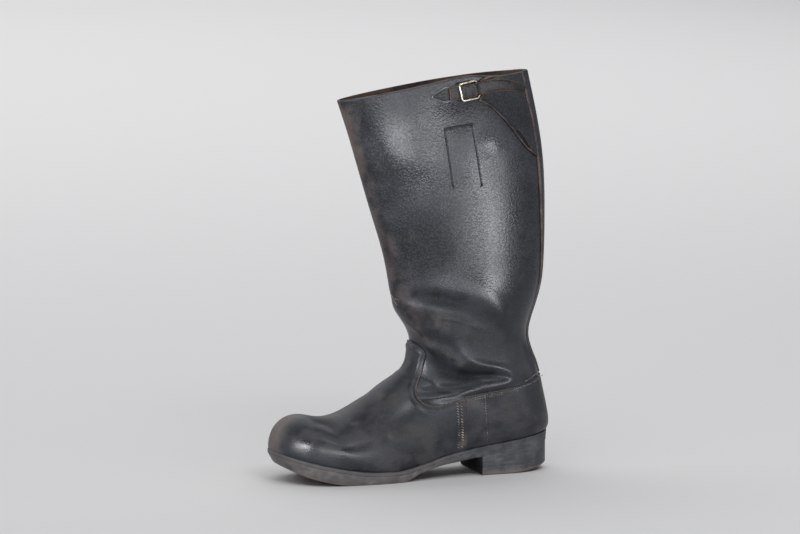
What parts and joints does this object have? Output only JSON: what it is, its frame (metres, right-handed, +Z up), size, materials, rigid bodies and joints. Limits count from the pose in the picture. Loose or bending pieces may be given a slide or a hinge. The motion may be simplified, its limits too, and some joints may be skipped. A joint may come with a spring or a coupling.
{
  "type": "officer boot",
  "caption": "Tall black leather officer's boot for the left foot, with a slack shaft, calf strap and buckle, welted leather sole and stacked heel.",
  "frame": {"origin": "centre of the overall box in plan, on the floor under the sole", "axes": "+Z up, toe towards -X and heel towards +X, outer side of the foot (buckle side) towards -Y"},
  "size_m": [0.305, 0.1048, 0.4265],
  "materials": {
    "black_leather": "waxed black cowhide, scuffed to brown on the toe and the folds",
    "strap_leather": "black strap leather with raw brown cut edges",
    "welt_leather": "black inked welt, worn at the edge",
    "sole_leather": "dark inked sole leather, scuffed brown at the edge",
    "heel_leather": "stacked heel leather, inked black",
    "top_piece_leather": "bare heel lift, worn at the back",
    "insole_leather": "plain brown insole leather",
    "buckle_brass": "pale nickel-brass wire, tarnished"
  },
  "bodies": {
    "root": {"upper": "black_leather", "vamp": "black_leather", "counter": "black_leather", "back_strip": "black_leather", "calf_flap": "black_leather", "strap": "strap_leather", "buckle_chape": "strap_leather", "buckle_frame": "buckle_brass", "welt": "welt_leather", "outsole": "sole_leather", "insole": "insole_leather", "heel_stack": "heel_leather", "heel_top_piece": "top_piece_leather"}
  },
  "joints": []
}
